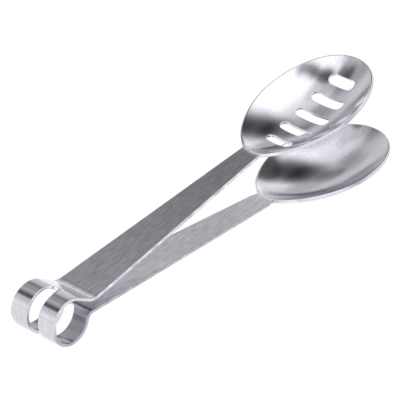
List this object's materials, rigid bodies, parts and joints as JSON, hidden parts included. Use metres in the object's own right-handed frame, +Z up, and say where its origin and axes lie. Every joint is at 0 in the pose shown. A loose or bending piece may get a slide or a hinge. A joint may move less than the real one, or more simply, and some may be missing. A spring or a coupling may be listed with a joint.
{
  "type": "tea bag squeezing tongs",
  "caption": "Steel spring tongs with a bent loop, tapering arms and dished bowls, the upper one slotted, for squeezing a wet tea bag.",
  "frame": {"origin": "middle of the footprint, on the floor that the loop and the lower bowl rest on", "axes": "+X from the loop to the bowls, +Y across the strip, +Z up"},
  "size_m": [0.1604, 0.0388, 0.0407],
  "materials": {
    "satin_steel": "satin, pressed dish with soft wide reflections",
    "brushed_steel_upper": "fine brushing along the arm",
    "brushed_steel_lower": "fine brushing along the arm",
    "bent_steel": "fine brushing round the loop, bright bends"
  },
  "bodies": {
    "lower_half": {"lower_bowl": "satin_steel", "lower_arm": "brushed_steel_lower", "lower_neck": "bent_steel", "left_spring_band": "bent_steel", "right_spring_band": "bent_steel"},
    "upper_half": {"upper_bowl": "satin_steel", "upper_arm": "brushed_steel_upper", "upper_neck": "bent_steel"}
  },
  "joints": [
    {"name": "squeeze", "type": "hinge", "parent": "lower_half", "child": "upper_half", "pos_m": [-0.07191, 0, 0.00825], "axis": [0, 1, 0], "range_deg": [0, 10], "stiffness_Nm_per_rad": 9, "deforming": ["left_spring_band", "right_spring_band"]}
  ]
}
